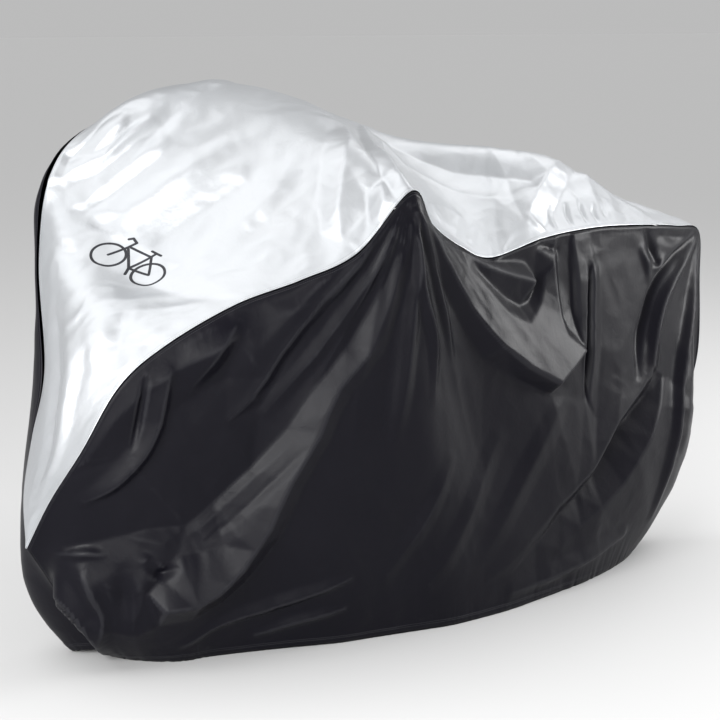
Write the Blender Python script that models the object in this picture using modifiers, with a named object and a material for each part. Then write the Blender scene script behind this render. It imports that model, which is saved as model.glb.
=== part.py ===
"""Fitted cover for one bicycle, in the shape it takes over the bicycle it hides.

A silver top strip runs from a point at the toe, over the handlebar and the
saddle, to a point at the heel. A black panel is sewn to each long edge of the
strip and reaches the ground, and the two black panels meet in a seam below the
strip's points. The underside is open. X runs from the front wheel to the rear,
Y from the near side to the far side and Z up, in metres, with the ground at 0.
"""

from collections import namedtuple

import bmesh
import bpy
import numpy as np

CENTRE = (-.0208, -.0074, -.002)   # brings the middle of the finished cover's box over the origin
CLOTH = 0.0015          # thickness of the coated cloth
SEAM_GAP = 0.0006       # silver lies this far outside black along the lapped seams
SEAM_DROP = 0.0034      # black cloth starts this far below the line of the seam
END_DROP = 0.010        # the side panels stop this part of a section short of each other
SEAM_FADE = 0.035       # folds die out over this distance from a seam
END_FADE = 0.8          # and over this part of a section from the toe and the heel
COLUMNS = 69            # faces along the cover
STRIP_ROWS = 12         # faces across the strip
NEAR_ROWS = 23          # faces from the near seam to the hem
FAR_ROWS = 12           # faces from the far seam to the hem

Section = namedtuple("Section", "name near lap crown far near_hem far_hem fullness")
# One row for each section across the cover, from the toe to the heel. The strip
# passes through its near seam, lap, crown and far seam, and each side panel
# runs from its seam to its hem. Fullness is how far the near and the far panel
# stand out between them, and the way they face: 180 degrees is forwards, 90
# sideways and 0 backwards.
SECTIONS = [Section(*row) for row in (
    ("toe", (-.934, -.001, .277), (-.936, -.0003, .277), (-.936, .0003, .277), (-.934, .001, .277),
     (-.772, .024, .018), (-.772, .026, .018), (.000, .000, 180)),
    ("shin", (-.905, -.064, .388), (-.918, -.020, .390), (-.918, .020, .385), (-.910, .062, .375),
     (-.762, -.005, .014), (-.806, .088, .006), (.045, .051, 152)),
    ("knee", (-.860, -.126, .498), (-.888, -.046, .495), (-.890, .022, .491), (-.878, .084, .488),
     (-.715, -.045, .005), (-.755, .130, .003), (.035, .075, 132)),
    ("thigh", (-.790, -.160, .628), (-.846, -.064, .635), (-.852, .016, .632), (-.842, .088, .633),
     (-.640, -.098, .003), (-.670, .150, .003), (.030, .088, 118)),
    ("brow", (-.700, -.185, .705), (-.776, -.060, .765), (-.812, .060, .800), (-.809, .176, .845),
     (-.560, -.110, .003), (-.560, .165, .003), (.030, .048, 106)),
    ("hood", (-.560, -.225, .782), (-.640, -.020, .845), (-.725, .130, .960), (-.768, .200, 1.020),
     (-.430, -.146, .003), (-.430, .180, .003), (.025, .105, 110)),
    ("dome", (-.430, -.270, .828), (-.500, -.060, .960), (-.600, .150, 1.146), (-.665, .242, 1.114),
     (-.300, -.188, .003), (-.290, .205, .003), (.022, .060, 100)),
    ("cheek", (-.317, -.308, .880), (-.390, -.110, 1.028), (-.445, .150, 1.204), (-.480, .315, 1.155),
     (-.200, -.204, .003), (-.180, .225, .003), (.018, .030, 95)),
    ("grip", (-.203, -.338, 1.003), (-.235, -.170, 1.085), (-.265, .130, 1.191), (-.280, .340, 1.175),
     (-.090, -.222, .003), (-.060, .240, .003), (.014, .030, 92)),
    ("wrist", (-.128, -.305, .925), (-.120, -.150, 1.030), (-.110, .100, 1.133), (-.150, .320, 1.080),
     (-.020, -.232, .003), (.010, .245, .003), (.014, .030, 90)),
    ("neck", (-.020, -.258, .866), (-.010, -.120, .980), (-.005, .040, 1.084), (-.020, .275, .980),
     (.070, -.228, .003), (.080, .245, .003), (.014, .025, 90)),
    ("dip", (.080, -.234, .833), (.100, -.120, .950), (.110, .010, 1.060), (.090, .240, .910),
     (.160, -.218, .003), (.170, .235, .003), (.014, .025, 90)),
    ("saddle", (.260, -.198, .862), (.255, -.110, .963), (.255, .000, 1.047), (.260, .205, .885),
     (.290, -.188, .003), (.300, .205, .003), (.020, .025, 89)),
    ("tail", (.430, -.162, .870), (.425, -.090, .953), (.425, .005, 1.018), (.430, .180, .880),
     (.420, -.156, .003), (.420, .185, .003), (.028, .025, 86)),
    ("rack", (.600, -.122, .862), (.590, -.060, .903), (.580, .010, .942), (.600, .155, .868),
     (.530, -.116, .003), (.520, .165, .003), (.040, .030, 82)),
    ("fender", (.770, -.076, .845), (.765, -.030, .866), (.760, .020, .880), (.770, .130, .846),
     (.620, -.074, .003), (.600, .135, .003), (.052, .040, 74)),
    ("corner", (.903, -.015, .818), (.909, .020, .820), (.911, .050, .820), (.898, .112, .808),
     (.685, -.030, .003), (.660, .105, .003), (.074, .050, 56)),
    ("rear", (.960, .036, .690), (.963, .058, .690), (.963, .080, .690), (.961, .104, .690),
     (.720, .016, .003), (.700, .080, .003), (.080, .060, 36)),
    ("calf", (.972, .050, .470), (.974, .062, .470), (.974, .078, .470), (.972, .092, .470),
     (.733, .045, .003), (.728, .065, .003), (.054, .045, 16)),
    ("heel", (.912, .069, .290), (.913, .0697, .290), (.913, .0703, .290), (.912, .071, .290),
     (.736, .054, .003), (.736, .056, .003), (.000, .000, 0)),
)]
LAST = len(SECTIONS) - 1

Fold = namedtuple("Fold", "name start middle end half_widths heights lean")
# One row for each fold. Places are (x, z) on a side panel, and on the strip
# metres (from the toe, from the near seam). The half widths are at the start and
# the end, the heights at all three, below zero for a trough, and lean makes one
# flank longer than the other.
STRIP_FOLDS = [Fold(*row) for row in (
    ("grip ridge", (1.190, .010), (1.265, .190), (1.345, .360), (.026, .038), (.001, .015, .004), 0),
    ("bar hollow", (1.110, .060), (1.150, .180), (1.200, .330), (.036, .044), (-.006, -.014, -.004), 0),
    ("brow", (.573, .380), (.617, .198), (.667, .040), (.036, .036), (.012, .016, .004), 0),
    ("under brow", (.500, .290), (.535, .190), (.570, .070), (.040, .040), (-.010, -.012, -.004), 0),
    ("front pleat", (.520, .290), (.320, .160), (.130, .050), (.024, .022), (-.008, -.011, -.004), 0),
    ("streak one", (.740, .330), (.850, .345), (.960, .370), (.036, .036), (.004, .009, .003), .20),
    ("streak two", (.720, .420), (.830, .440), (.940, .480), (.036, .036), (-.003, -.008, -.003), .20),
    ("streak three", (.800, .200), (.920, .220), (1.050, .260), (.036, .036), (.003, .008, .003), -.20),
    ("valley", (1.410, .300), (1.600, .220), (1.790, .145), (.050, .045), (-.006, -.016, -.004), 0),
    ("seam swell", (1.370, .060), (1.440, .055), (1.520, .045), (.030, .028), (.008, .012, .004), 0),
    ("saddle rib", (1.900, .175), (1.780, .105), (1.660, .045), (.030, .028), (.008, .015, .006), -.20),
    ("saddle trough", (1.950, .150), (1.840, .090), (1.730, .035), (.028, .026), (-.006, -.010, -.006), 0),
    ("rack rib", (2.040, .125), (1.915, .070), (1.800, .020), (.030, .028), (.008, .015, .006), -.20),
)]
NEAR_FOLDS = [Fold(*row) for row in (
    ("long band", (-.205, .985), (-.415, .455), (-.625, .150), (.026, .066), (.006, .042, .012), -.40),
    ("thin rib", (-.320, .890), (-.430, .720), (-.530, .580), (.026, .030), (.009, .018, .004), -.20),
    ("valley", (-.260, .900), (-.440, .650), (-.640, .440), (.026, .040), (-.009, -.024, -.012), .20),
    ("drop one", (-.205, .975), (-.215, .780), (-.250, .560), (.024, .030), (.004, .014, .003), 0),
    ("drop two", (-.195, .975), (-.160, .780), (-.150, .520), (.024, .034), (.005, .018, .003), .20),
    ("swag", (-.150, .930), (.030, .705), (.285, .512), (.036, .050), (.014, .042, .020), .15),
    ("swag hollow", (-.100, .780), (-.010, .560), (.120, .430), (.036, .050), (-.006, -.022, -.006), 0),
    ("star rib", (.205, .850), (.190, .750), (.180, .655), (.028, .028), (.010, .014, .004), 0),
    ("star edge", (.262, .805), (.310, .690), (.390, .575), (.028, .030), (.008, .018, .010), .20),
    ("star pocket", (.080, .812), (.140, .785), (.195, .765), (.028, .028), (-.012, -.017, -.008), 0),
    ("slit", (.408, .765), (.402, .610), (.390, .465), (.026, .026), (-.010, -.018, -.006), 0),
    ("dent", (.645, .835), (.655, .795), (.668, .750), (.026, .026), (-.010, -.016, -.006), 0),
    ("corner rib", (.880, .800), (.680, .650), (.550, .465), (.028, .040), (.008, .028, .016), -.30),
    ("corner pocket", (.740, .640), (.680, .520), (.610, .420), (.036, .040), (-.012, -.024, -.008), 0),
    ("rear rib", (.890, .790), (.800, .520), (.690, .170), (.028, .040), (.008, .026, .010), -.30),
    ("long crease", (.560, .460), (.340, .260), (.100, .070), (.040, .036), (.010, .018, .006), .20),
    ("low crease", (.330, .480), (.180, .300), (.000, .120), (.044, .044), (.004, .012, .004), .20),
    ("shin crease", (-.870, .400), (-.800, .460), (-.730, .500), (.028, .028), (.006, .014, .004), 0),
    ("toe crease", (-.880, .300), (-.800, .300), (-.700, .330), (.032, .032), (-.004, -.012, -.004), 0),
    ("wheel swell", (-.700, .110), (-.560, .060), (-.400, .050), (.040, .040), (.006, .012, .004), 0),
)]
FAR_FOLDS = [Fold(*row) for row in (
    ("bar drop", (-.270, 1.150), (-.360, .750), (-.520, .350), (.034, .066), (.008, .034, .010), -.30),
    ("bar drop two", (-.250, 1.100), (-.180, .750), (-.120, .420), (.034, .060), (.008, .026, .008), .30),
    ("swag", (-.120, .980), (.080, .700), (.330, .480), (.036, .050), (.012, .036, .018), .30),
    ("front drop", (-.700, .980), (-.720, .700), (-.760, .380), (.040, .054), (.005, .020, .005), 0),
    ("saddle drop", (.430, .840), (.400, .620), (.340, .360), (.036, .054), (.005, .022, .005), 0),
    ("corner rib", (.880, .780), (.700, .580), (.560, .300), (.036, .054), (.008, .028, .010), -.30),
    ("hem sweep", (-.400, .200), (-.100, .120), (.250, .160), (.050, .050), (.004, .014, .004), 0),
)]
CURVE_STEPS = 14        # straight steps that a fold's curve is measured along
CREST_ROUNDING = 0.2    # how blunt a fold's crest is, against its half width
FLANK_POWER = 1.5       # how fast its flanks fall away
FLANK_RATE = 1.2


def curve_through(points, at):
    """Smooth curve through points: each step is the cubic whose slopes at its ends
    are half the step from the point before to the point after."""
    points = np.asarray(points, float)
    points = np.vstack((2 * points[0] - points[1], points, 2 * points[-1] - points[-2]))
    first = np.clip(at.astype(int), 0, len(points) - 4)
    t = (at - first)[..., None]
    a, b, c, d = (points[first + k] for k in range(4))
    return b + t / 2 * (c - a + t * (2 * a - 5 * b + 4 * c - d + t * (3 * (b - c) + d - a)))


def column(name, at):
    """The line that one column of the sections makes along the cover."""
    return curve_through([getattr(section, name) for section in SECTIONS], at)


def strip_surface(at, across):
    """Points of the strip: across each section, the same cubic steps pass through
    the near seam at 0, the lap, the crown and the far seam at 1."""
    near, lap, crown, far = (column(name, at) for name in ("near", "lap", "crown", "far"))
    points = np.stack((2 * near - lap, near, lap, crown, far, 2 * far - crown))
    first = np.clip((across * 3).astype(int), 0, 2)
    t = (across * 3 - first)[..., None]
    item = np.arange(len(at))
    a, b, c, d = (points[first + k, item] for k in range(4))
    return b + t / 2 * (c - a + t * (2 * a - 5 * b + 4 * c - d + t * (3 * (b - c) + d - a)))


def strip_chart(at, across):
    """Metres from the toe along the strip's middle, and from the near seam across it."""
    fine = np.linspace(0, LAST, 400)
    middle = sum(column(name, fine) for name in ("near", "lap", "crown", "far")) / 4
    length = np.append(0, np.cumsum(np.linalg.norm(np.diff(middle, axis=0), axis=1)))
    ribs = [column(name, at) for name in ("near", "lap", "crown", "far")]
    chords = [np.linalg.norm(b - a, axis=-1) for a, b in zip(ribs, ribs[1:])]
    width = sum(chord * np.clip(across * 3 - k, 0, 1) for k, chord in enumerate(chords))
    return np.interp(at, fine, length), width


def side_surface(at, drop, side):
    """Points of a side panel: straight from the seam at 0 to the hem at 1, moved
    level the way the section faces, by its fullness times a skewed half wave."""
    seam = column(side, at)
    hem = column(side + "_hem", at)
    near_belly, far_belly, facing = column("fullness", at).T
    far_skew = 0.5 + 0.9 * fade((facing - 100) / 60) + 0.3 * fade((98 - facing) / 6)
    belly, skew, sideways = (near_belly, 1.6, -1) if side == "near" else (far_belly, far_skew, 1)
    facing = np.radians(facing)
    outward = np.column_stack((np.cos(facing), sideways * np.sin(facing), np.zeros(len(at))))
    wave = np.sin(np.pi * drop ** skew) ** 0.9
    return seam + (hem - seam) * drop[:, None] + outward * (belly * wave)[:, None]


def fold_height(x, y, folds):
    """Height of the folds at flat places: each follows the parabola through its three
    points, and falls off as exp(-rate * (distance / half width) ** power)."""
    total = np.zeros(len(x))
    for fold in folds:
        t = np.linspace(0, 1, CURVE_STEPS + 1)[:, None]
        start, middle, end = (np.array(point) for point in (fold.start, fold.middle, fold.end))
        control = 2 * middle - (start + end) / 2
        line = (1 - t) ** 2 * start + 2 * t * (1 - t) * control + t * t * end
        nearest = np.full(len(x), np.inf)
        place = np.zeros(len(x))
        flank = np.zeros(len(x))
        for k, (a, b) in enumerate(zip(line, line[1:])):
            ab = b - a
            s = np.clip(((x - a[0]) * ab[0] + (y - a[1]) * ab[1]) / (ab @ ab), 0, 1)
            dx = x - a[0] - s * ab[0]
            dy = y - a[1] - s * ab[1]
            distance = np.hypot(dx, dy)
            closer = distance < nearest
            nearest = np.where(closer, distance, nearest)
            place = np.where(closer, (k + s) / CURVE_STEPS, place)
            sine = (ab[0] * dy - ab[1] * dx) / (np.linalg.norm(ab) * distance + 1e-9)
            flank = np.where(closer, sine, flank)
        w0, w1 = fold.half_widths
        h0, h1, h2 = fold.heights
        ratio = nearest / ((w0 + (w1 - w0) * place) * (1 + fold.lean * flank))
        blunt = np.sqrt(ratio ** 2 + CREST_ROUNDING ** 2) - CREST_ROUNDING
        height = h0 * (1 - place) * (1 - 2 * place) + h1 * 4 * place * (1 - place) + h2 * place * (2 * place - 1)
        total += height * np.exp(-FLANK_RATE * blunt ** FLANK_POWER)
    return total


def fade(distance):
    """0 at an edge and 1 from one unit away, level at both ends."""
    distance = np.clip(distance, 0, 1)
    return distance ** 2 * (3 - 2 * distance)


def even_sections():
    """Section numbers that space the columns evenly along the near seam and the hem."""
    fine = np.linspace(END_DROP, LAST - END_DROP, 2000)
    path = column("near", fine)
    path += column("near_hem", fine)
    length = np.append(0, np.cumsum(np.linalg.norm(np.diff(path, axis=0), axis=1)))
    return np.interp(np.linspace(0, length[-1], COLUMNS + 1), length, fine)


def panel(name, rows, surface, chart, edge_fade, folds, material, offset):
    """One piece of cloth: a grid laid on its surface, raised by its folds along the
    surface's own normal and given its thickness by Solidify."""
    sheet = bmesh.new()
    bmesh.ops.create_grid(sheet, x_segments=COLUMNS, y_segments=rows, size=0.5)
    flat = np.array([vert.co[:2] for vert in sheet.verts]) + 0.5
    at = even_sections()[np.rint(flat[:, 0] * COLUMNS).astype(int)]
    across = flat[:, 1]
    step = 0.002
    points = surface(at, across)
    along_at = surface(np.minimum(at + step, LAST), across) - surface(np.maximum(at - step, 0), across)
    along_across = surface(at, np.minimum(across + step, 1)) - surface(at, np.maximum(across - step, 0))
    normal = np.cross(along_at, along_across)
    normal /= np.linalg.norm(normal, axis=1, keepdims=True)
    height = fold_height(*chart(at, across), folds) * edge_fade(at, across)
    points = points + normal * height[:, None] + CENTRE
    for vert, point in zip(sheet.verts, points):
        vert.co = point
    mesh = bpy.data.meshes.new(name)
    sheet.to_mesh(mesh)
    sheet.free()
    mesh.materials.append(material)
    mesh.shade_smooth()
    cloth = bpy.data.objects.new(name, mesh)
    cover.objects.link(cloth)
    shell = cloth.modifiers.new("thickness", "SOLIDIFY")
    shell.thickness = CLOTH
    shell.offset = offset
    return cloth


def strip_fade(at, across):
    """Folds of the strip die out at both seams and at its two points."""
    width = strip_chart(at, np.ones(len(at)))[1]
    from_seam = np.minimum(across, 1 - across) * width / SEAM_FADE
    return fade(from_seam) * fade(np.minimum(at, LAST - at) / END_FADE)


def side_panel(name, side, rows, folds, material):
    """A black panel, with its grid turned so that its faces point away from the bicycle."""
    def drop(across):
        place = 1 - across if side == "near" else across
        return SEAM_DROP + (1 - SEAM_DROP) * place

    def surface(at, across):
        return side_surface(at, drop(across), side)

    def chart(at, across):
        points = surface(at, across)
        return points[:, 0], points[:, 2]

    def edge_fade(at, across):
        seam_height = column(side, at)[:, 2]
        return fade(drop(across) * seam_height / SEAM_FADE) * fade(np.minimum(at, LAST - at) / END_FADE)

    return panel(name, rows, surface, chart, edge_fade, folds, material, -1 - 2 * SEAM_GAP / CLOTH)


def cloth_material(name, color, roughness, metallic):
    """A coated cloth."""
    material = bpy.data.materials.new(name)
    material.use_nodes = True
    shader = material.node_tree.nodes["Principled BSDF"]
    shader.inputs["Base Color"].default_value = (*color, 1)
    shader.inputs["Roughness"].default_value = roughness
    shader.inputs["Metallic"].default_value = metallic
    return material


for old in list(bpy.data.objects):
    bpy.data.objects.remove(old, do_unlink=True)
cover = bpy.data.collections.new("bicycle_cover")
bpy.context.scene.collection.children.link(cover)

silver = cloth_material("silver_cloth", (0.62, 0.64, 0.67), 0.38, 0.55)
black = cloth_material("black_cloth", (0.018, 0.017, 0.022), 0.42, 0.0)

panel("top_strip", STRIP_ROWS, strip_surface, strip_chart, strip_fade, STRIP_FOLDS, silver, 1)
side_panel("near_panel", "near", NEAR_ROWS, NEAR_FOLDS, black)
side_panel("far_panel", "far", FAR_ROWS, FAR_FOLDS, black)
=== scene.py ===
"""Looks of a fitted cover for one bicycle, in the shape it takes over the bicycle it hides.

Lengths are in metres, apart from the rows of creases and folds, which are in
millimetres. X runs from the front wheel to the rear, Y from the near side to the
far side and Z up.
"""

from collections import namedtuple
from functools import partial
from math import atan2, pi

import bpy
import numpy as np
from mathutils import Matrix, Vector
from mathutils.geometry import delaunay_2d_cdt


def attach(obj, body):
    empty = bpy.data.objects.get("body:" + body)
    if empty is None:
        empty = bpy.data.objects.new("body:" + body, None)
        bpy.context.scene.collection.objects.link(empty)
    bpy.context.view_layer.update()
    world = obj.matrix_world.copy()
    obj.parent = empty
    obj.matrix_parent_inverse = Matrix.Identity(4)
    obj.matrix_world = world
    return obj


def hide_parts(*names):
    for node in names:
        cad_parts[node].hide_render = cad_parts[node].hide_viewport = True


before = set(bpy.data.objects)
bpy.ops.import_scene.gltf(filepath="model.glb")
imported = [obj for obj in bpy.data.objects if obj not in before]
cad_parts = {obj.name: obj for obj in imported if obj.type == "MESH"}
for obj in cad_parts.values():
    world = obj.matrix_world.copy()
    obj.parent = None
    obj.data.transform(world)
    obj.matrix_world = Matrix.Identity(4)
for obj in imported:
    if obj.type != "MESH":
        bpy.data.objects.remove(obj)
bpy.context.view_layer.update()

# ------------------------------
# Top strip. One length of silver-coated plain weave, cut to a point at both ends. It lies
# over the handlebar and the saddle, and its long edges are lapped over the black panels
# and sewn down, so everything that the two share is worked out here first.
CENTRE = (-.0208, -.0074, -.002)  # brings the middle of the cover's box over the origin
CLOTH = 0.0004  # thickness of the cloth, coating and all
STRIP_COLUMNS = 620  # faces along the strip
STRIP_ROWS = 150  # and across it

Section = namedtuple("Section", "name near lap crown far near_hem far_hem fullness")
# One row for each section across the cover, from the toe to the heel. The strip
# passes through its near seam, lap, crown and far seam, and each side panel
# runs from its seam to its hem. Fullness is how far the near and the far panel
# stand out between them, and the way they face: 180 degrees is forwards, 90
# sideways and 0 backwards.
SECTIONS = [Section(*row) for row in (
    ("toe", (-.934, -.001, .277), (-.936, -.0003, .277), (-.936, .0003, .277), (-.934, .001, .277),
     (-.772, .024, .018), (-.772, .026, .018), (0, 0, 180)),
    ("shin", (-.905, -.064, .388), (-.918, -.02, .39), (-.918, .02, .385), (-.91, .062, .375),
     (-.762, -.005, .014), (-.806, .088, .006), (.045, .051, 152)),
    ("knee", (-.86, -.126, .498), (-.888, -.046, .495), (-.89, .022, .491), (-.878, .084, .488),
     (-.715, -.045, .005), (-.755, .13, .003), (.035, .075, 132)),
    ("thigh", (-.79, -.16, .628), (-.846, -.064, .635), (-.852, .016, .632), (-.842, .088, .633),
     (-.64, -.098, .003), (-.67, .15, .003), (.03, .088, 118)),
    ("brow", (-.7, -.185, .705), (-.776, -.06, .765), (-.812, .06, .8), (-.809, .176, .845),
     (-.56, -.11, .003), (-.56, .165, .003), (.03, .048, 106)),
    ("hood", (-.56, -.225, .782), (-.64, -.02, .845), (-.725, .13, .96), (-.768, .2, 1.02),
     (-.43, -.146, .003), (-.43, .18, .003), (.025, .105, 110)),
    ("dome", (-.43, -.27, .828), (-.5, -.06, .96), (-.6, .15, 1.146), (-.665, .242, 1.114),
     (-.3, -.188, .003), (-.29, .205, .003), (.022, .06, 100)),
    ("cheek", (-.317, -.308, .88), (-.39, -.11, 1.028), (-.445, .15, 1.204),
     (-.48, .315, 1.155), (-.2, -.204, .003), (-.18, .225, .003), (.018, .03, 95)),
    ("grip", (-.203, -.338, 1.003), (-.235, -.17, 1.085), (-.265, .13, 1.191),
     (-.28, .34, 1.175), (-.09, -.222, .003), (-.06, .24, .003), (.014, .03, 92)),
    ("wrist", (-.128, -.305, .925), (-.12, -.15, 1.03), (-.11, .1, 1.133),
     (-.15, .32, 1.08), (-.02, -.232, .003), (.01, .245, .003), (.014, .03, 90)),
    ("neck", (-.02, -.258, .866), (-.01, -.12, .98), (-.005, .04, 1.084), (-.02, .275, .98),
     (.07, -.228, .003), (.08, .245, .003), (.014, .025, 90)),
    ("dip", (.08, -.234, .833), (.1, -.12, .95), (.11, .01, 1.06), (.09, .24, .91),
     (.16, -.218, .003), (.17, .235, .003), (.014, .025, 90)),
    ("saddle", (.26, -.198, .862), (.255, -.11, .963), (.255, 0, 1.047), (.26, .205, .885),
     (.29, -.188, .003), (.3, .205, .003), (.02, .025, 89)),
    ("tail", (.43, -.162, .87), (.425, -.09, .953), (.425, .005, 1.018), (.43, .18, .88),
     (.42, -.156, .003), (.42, .185, .003), (.028, .025, 86)),
    ("rack", (.6, -.122, .862), (.59, -.06, .903), (.58, .01, .942), (.6, .155, .868),
     (.53, -.116, .003), (.52, .165, .003), (.04, .03, 82)),
    ("fender", (.77, -.076, .845), (.765, -.03, .866), (.76, .02, .88), (.77, .13, .846),
     (.62, -.074, .003), (.6, .135, .003), (.052, .04, 74)),
    ("corner", (.903, -.015, .818), (.909, .02, .82), (.911, .05, .82), (.898, .112, .808),
     (.685, -.03, .003), (.66, .105, .003), (.074, .05, 56)),
    ("rear", (.96, .036, .69), (.963, .058, .69), (.963, .08, .69), (.961, .104, .69),
     (.72, .016, .003), (.7, .08, .003), (.08, .06, 36)),
    ("calf", (.972, .05, .47), (.974, .062, .47), (.974, .078, .47), (.972, .092, .47),
     (.733, .045, .003), (.728, .065, .003), (.054, .045, 16)),
    ("heel", (.912, .069, .29), (.913, .0697, .29), (.913, .0703, .29), (.912, .071, .29),
     (.736, .054, .003), (.736, .056, .003), (0, 0, 0)),
)]
LAST = len(SECTIONS) - 1
RIBS = ("near", "lap", "crown", "far")
SEAM_FADE = 0.022  # folds die out over this distance from a seam
END_FADE = 0.8  # and over this part of a section from the toe and the heel

Crease = namedtuple("Crease", "name points")
# One row for each crease between the strip's larger facets, with its points as
# millimetres from the toe along the strip, across it from the near seam, and out.
# The facets between the creases are flat triangles.
STRIP_CREASES = [Crease(*row) for row in (
    ("brow", ((590, 400, -2), (612, 335, -6), (632, 285, -8), (645, 240, -9), (655, 190, -8),
     (662, 130, -6), (670, 70, -2))),
    ("brow foot", ((530, 330, -1), (545, 260, -3), (560, 200, -3), (575, 140, -2), (600, 70, -1))),
    ("brow back", ((660, 420, 2), (700, 330, 7), (715, 250, 9), (725, 180, 8), (725, 110, 4))),
    ("blade one", ((868, 570, 2), (836, 548, 8), (800, 530, 6), (775, 514, 2))),
    ("blade one foot", ((866, 586, 0), (835, 578, -2), (800, 562, -1))),
    ("blade two", ((884, 512, 2), (840, 504, 9), (795, 499, 10), (745, 507, 7), (712, 514, 1))),
    ("blade two foot", ((888, 532, 0), (845, 530, -3), (805, 520, -1))),
    ("blade back", ((890, 494, -1), (835, 486, -4), (790, 480, -5), (740, 484, -4),
     (700, 490, -2))),
    ("streak", ((872, 458, 2), (835, 446, 7), (795, 440, 9), (745, 437, 8), (700, 440, 3),
     (670, 446, 0))),
    ("streak back", ((880, 432, -2), (800, 415, -4), (740, 414, -4), (690, 420, -2))),
    ("dimple", ((762, 560, -7), (752, 548, -6), (738, 536, 1))),
    ("patch edge", ((786, 572, 2), (766, 584, 1), (740, 562, 2), (716, 545, 3), (698, 532, 5))),
    ("patch foot", ((700, 512, -2), (682, 520, -1), (668, 530, 0))),
    ("pale band", ((860, 370, 2), (800, 362, 7), (735, 360, 9), (680, 365, 5))),
    ("grip ridge", ((1362, 400, 2), (1334, 354, 8), (1285, 250, 15), (1235, 152, 18),
     (1205, 85, 14), (1190, 44, 9), (1184, 14, 2))),
    ("ridge right", ((1385, 330, -2), (1320, 220, -5), (1275, 140, -6), (1232, 60, -4),
     (1208, 18, -1))),
    ("ridge left", ((1310, 350, -1), (1250, 245, -4), (1200, 150, -8), (1160, 80, -8),
     (1146, 30, -4))),
    ("wedge", ((1250, 310, 3), (1185, 215, 9), (1129, 164, 12), (1085, 130, 12), (1053, 105, 10),
     (1015, 55, 5), (1000, 30, 2))),
    ("wedge foot", ((1180, 275, -2), (1095, 205, -3), (1030, 155, -4), (985, 85, -3))),
    ("tip triangle", ((1142, 58, 3), (1124, 30, 7), (1098, 20, 4))),
    ("tip pocket", ((1108, 80, -7), (1088, 52, -7), (1070, 30, -4))),
    ("swell", ((1330, 60, 3), (1380, 95, 9), (1440, 112, 13), (1500, 100, 12), (1550, 75, 8),
     (1600, 40, 3))),
    ("tab", ((1330, 28, -2), (1395, 38, -4), (1460, 30, -4), (1500, 15, -1))),
    ("valley", ((1370, 360, -2), (1420, 315, -9), (1500, 275, -16), (1580, 240, -19),
     (1660, 205, -18), (1720, 175, -13), (1780, 150, -4))),
    ("valley top", ((1410, 395, 4), (1500, 365, 8), (1600, 330, 9), (1700, 285, 8),
     (1800, 245, 3))),
    ("valley lip", ((1400, 240, 3), (1480, 205, 7), (1560, 175, 9), (1640, 140, 8),
     (1690, 115, 6))),
    ("saddle rib", ((1905, 190, 3), (1840, 160, 9), (1776, 120, 14), (1730, 86, 13), (1692, 52, 8),
     (1664, 24, 3))),
    ("saddle trough", ((1980, 175, -2), (1905, 132, -9), (1845, 86, -11), (1785, 46, -9),
     (1740, 18, -3))),
    ("rack rib", ((1940, 200, 2), (1995, 152, 10), (2050, 112, 14), (2100, 72, 13), (2132, 42, 9),
     (2162, 16, 3))),
    ("rack foot", ((2005, 215, -2), (2075, 170, -4), (2145, 110, -5), (2195, 60, -3))),
)]
CREASE_SOFT = .0035  # how far creases are rounded off

Fold = namedtuple("Fold", "name crest path")
# One row for each fold. Crest is how blunt its edge is. Each point of its path gives
# millimetres along the strip and across it, then the fold's height, below zero for a
# trough, and the reach of its left and right flank, or one reach for both.
STRIP_FOLDS = [Fold(*row) for row in (
    ("front pleat", .14, ((520, 300, -3, 30), (400, 200, -10, 30, 28), (300, 140, -11, 26),
     (200, 90, -9, 22), (120, 50, -3, 16))),
    ("front rib", .12, ((500, 230, 2, 26), (400, 135, 8, 26), (300, 90, 8, 24), (180, 50, 3, 16))),
    ("chin hollow", .20, ((560, 130, -2, 36, 30), (500, 80, -8, 36, 30), (440, 50, -3, 24))),
    ("streak one", .14, ((715, 335, 1, 30), (780, 350, 5, 34, 24), (870, 365, 6, 34, 22),
     (960, 375, 2, 26, 20))),
    ("streak two", .14, ((700, 430, -2, 30, 26), (790, 440, -8, 30, 26), (880, 480, -6, 26, 22),
     (940, 500, -2, 22, 20))),
    ("streak three", .16, ((770, 190, 2, 34), (870, 200, 6, 40, 30), (980, 230, 6, 36, 30),
     (1060, 260, 2, 26))),
    ("streak four", .16, ((760, 270, -2, 30), (880, 280, -6, 34, 30), (1000, 300, -2, 26))),
    ("saddle sliver", .08, ((1705, 60, 2, 12), (1725, 35, 6, 12), (1745, 15, 2, 10))),
    ("gather one", .10, ((1860, 75, -2, 9, 10), (1845, 45, -7, 10, 9), (1840, 14, -3, 8))),
    ("gather two", .10, ((1915, 80, -2, 9, 10), (1900, 50, -7, 10, 9), (1895, 16, -3, 8))),
    ("gather three", .10, ((1950, 60, -2, 8, 9), (1938, 40, -5, 8), (1935, 18, -2, 8))),
    ("gather four", .10, ((1985, 60, -1, 8, 9), (1975, 42, -4, 8), (1972, 22, -1, 8))),
    ("gather five", .10, ((1800, 70, 2, 10), (1785, 45, 5, 10), (1780, 15, 2, 8))),
    ("far fold one", .14, ((1000, 560, 2, 30), (1120, 600, 9, 34, 30), (1220, 640, 3, 26))),
    ("far fold two", .14, ((1330, 520, 3, 30), (1420, 500, 10, 34, 30), (1560, 450, 3, 28))),
    ("far fold three", .14, ((1700, 380, 2, 26), (1820, 330, 9, 30, 26), (1960, 270, 3, 26))),
    ("far fold four", .14, ((1250, 600, -3, 30), (1350, 580, -9, 34, 30), (1480, 540, -2, 26))),
)]
FOLD_STEPS = 6  # straight steps between two points of a fold's path
FOOT = 0.22  # how softly a flank runs out
RUN_OUT = 3  # a flank is cut off at this many times its reach
LENGTH_STEPS = 400  # straight steps that lengths along the cover are measured in
BORDER_POINTS = 60  # points on each long edge of a piece that its facets end at
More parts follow.
